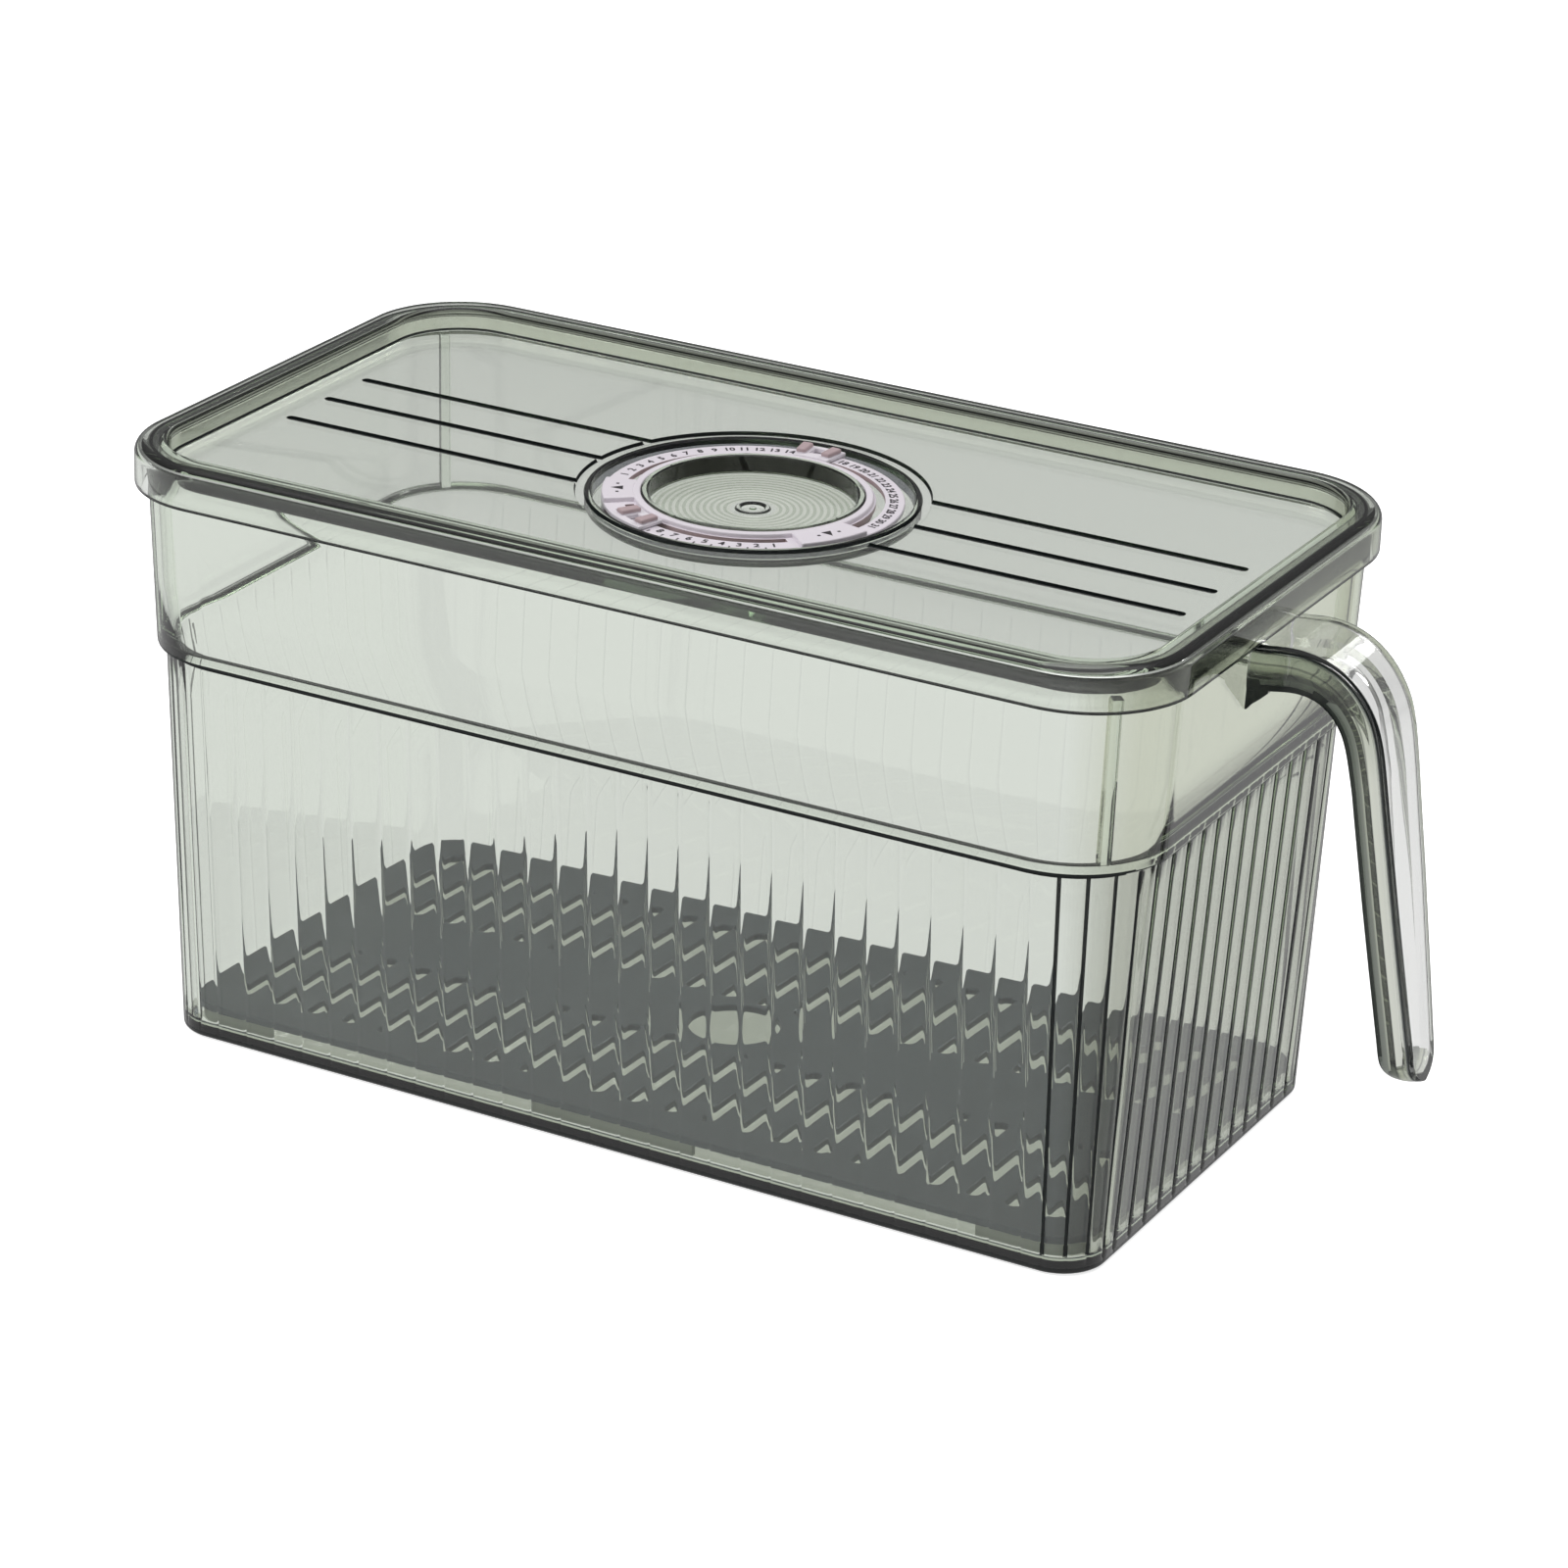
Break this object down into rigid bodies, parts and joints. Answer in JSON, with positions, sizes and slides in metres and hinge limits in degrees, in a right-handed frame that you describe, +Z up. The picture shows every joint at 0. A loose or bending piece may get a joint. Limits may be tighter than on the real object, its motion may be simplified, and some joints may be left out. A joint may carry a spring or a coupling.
{
  "type": "egg storage box",
  "caption": "Lidded rectangular storage bin for the fridge or cupboard, with a pull handle, a date dial set in the lift-off lid and a loose drain tray.",
  "frame": {"origin": "centre of the bin's base, on the surface it stands on", "axes": "+X along the length towards the handle, +Z up, the long front wall faces -Y"},
  "size_m": [0.3292, 0.1554, 0.158],
  "materials": {
    "clear_bin": "clear, faint green tint, polished",
    "clear_handle": "clear, faint green tint, polished",
    "clear_lid": "clear, faint green tint, polished",
    "dial": "satin, pale lilac white with printed plain numbers",
    "slider": "satin, pale lilac white",
    "tray": "fine satin, slate grey"
  },
  "bodies": {
    "bin": {"bin_body": "clear_bin", "handle": "clear_handle"},
    "lid": {"lid": "clear_lid", "dial_plate": "dial"},
    "day_slider": {"day_slider": "slider"},
    "month_slider": {"month_slider": "slider"},
    "tray": {"drain_tray": "tray"}
  },
  "joints": [
    {"name": "lid_lift", "type": "slide", "parent": "bin", "child": "lid", "axis": [0, 0, 1], "range_m": [0, 0.2]},
    {"name": "tray_lift", "type": "slide", "parent": "bin", "child": "tray", "axis": [0, 0, 1], "range_m": [0, 0.132]},
    {"name": "day_turn", "type": "hinge", "parent": "lid", "child": "day_slider", "pos_m": [0, 0, 0.151], "axis": [0, 0, 1], "range_deg": [-94.8, 94.8]},
    {"name": "month_turn", "type": "hinge", "parent": "lid", "child": "month_slider", "pos_m": [0, 0, 0.151], "axis": [0, 0, 1], "range_deg": [-14, 63]}
  ]
}
